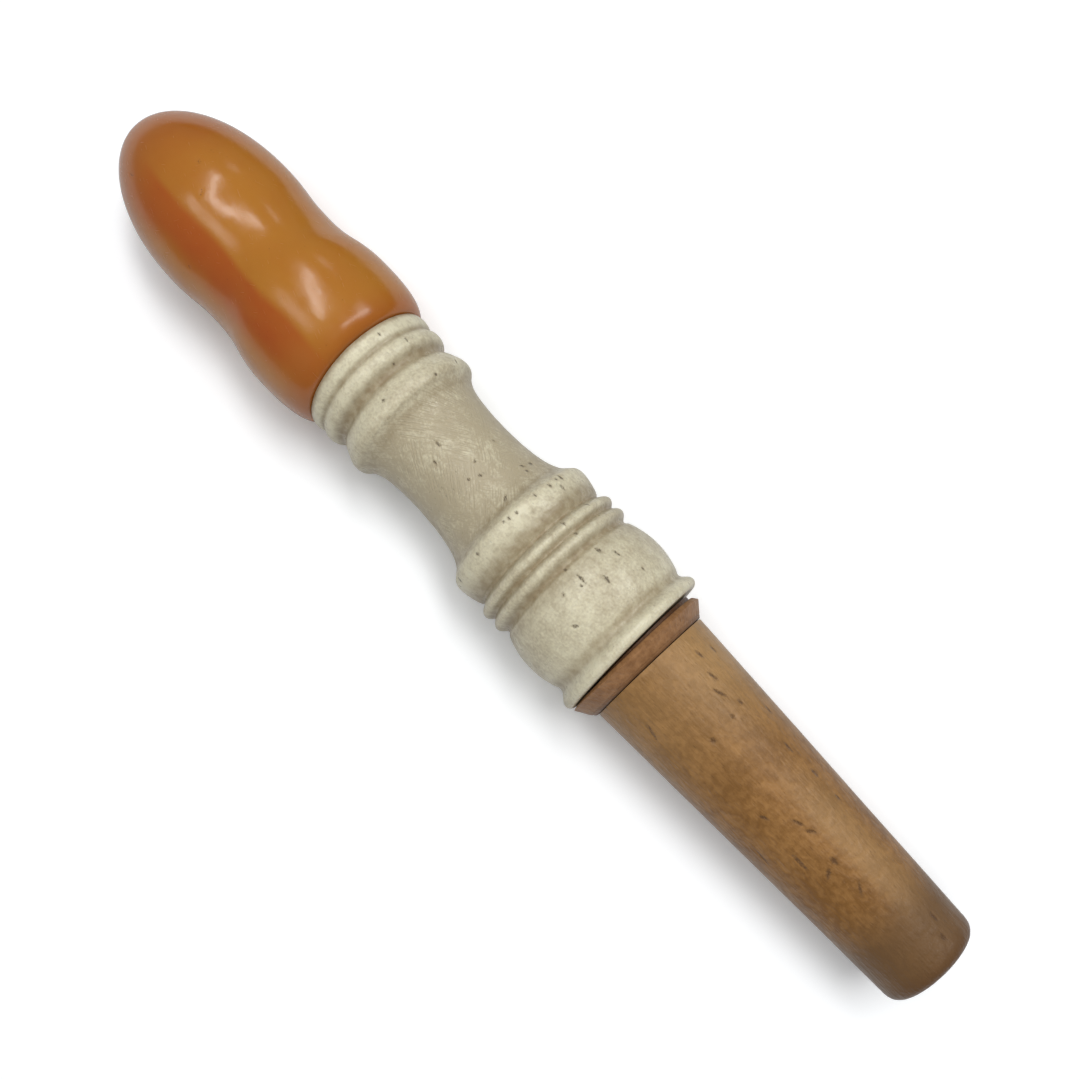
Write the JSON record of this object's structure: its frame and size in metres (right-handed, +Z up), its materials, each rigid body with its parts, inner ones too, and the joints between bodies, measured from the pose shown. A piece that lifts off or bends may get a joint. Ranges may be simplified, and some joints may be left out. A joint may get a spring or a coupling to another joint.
{
  "type": "muddler",
  "caption": "Bar muddler with a lobed resin knob, a turned bone grip, a wooden collar and a tapering wooden pestle with a flat working end.",
  "frame": {"origin": "on the surface the muddler lies on, under the middle of its length", "axes": "+X along the muddler from the knob towards the working end, +Z up from the surface"},
  "size_m": [0.2, 0.0304, 0.0308],
  "materials": {
    "amber_resin": "cast amber resin with a deep red swirl, polished by hand",
    "turned_bone": "turned and handled bone, semi-gloss, with dark pores and grime in its grooves",
    "red_wood": "reddish hardwood, worn satin",
    "pestle_wood": "golden-brown hardwood, handled and stained towards the working end",
    "bush_wood": "plain turned hardwood",
    "steel": "plain steel"
  },
  "bodies": {
    "root": {"knob": "amber_resin", "bone_handle": "turned_bone", "collar": "red_wood", "pestle": "pestle_wood", "tie_rod": "steel", "upper_bush": "bush_wood", "lower_bush": "bush_wood", "rod_washer": "steel", "rod_nut": "steel"}
  },
  "joints": []
}
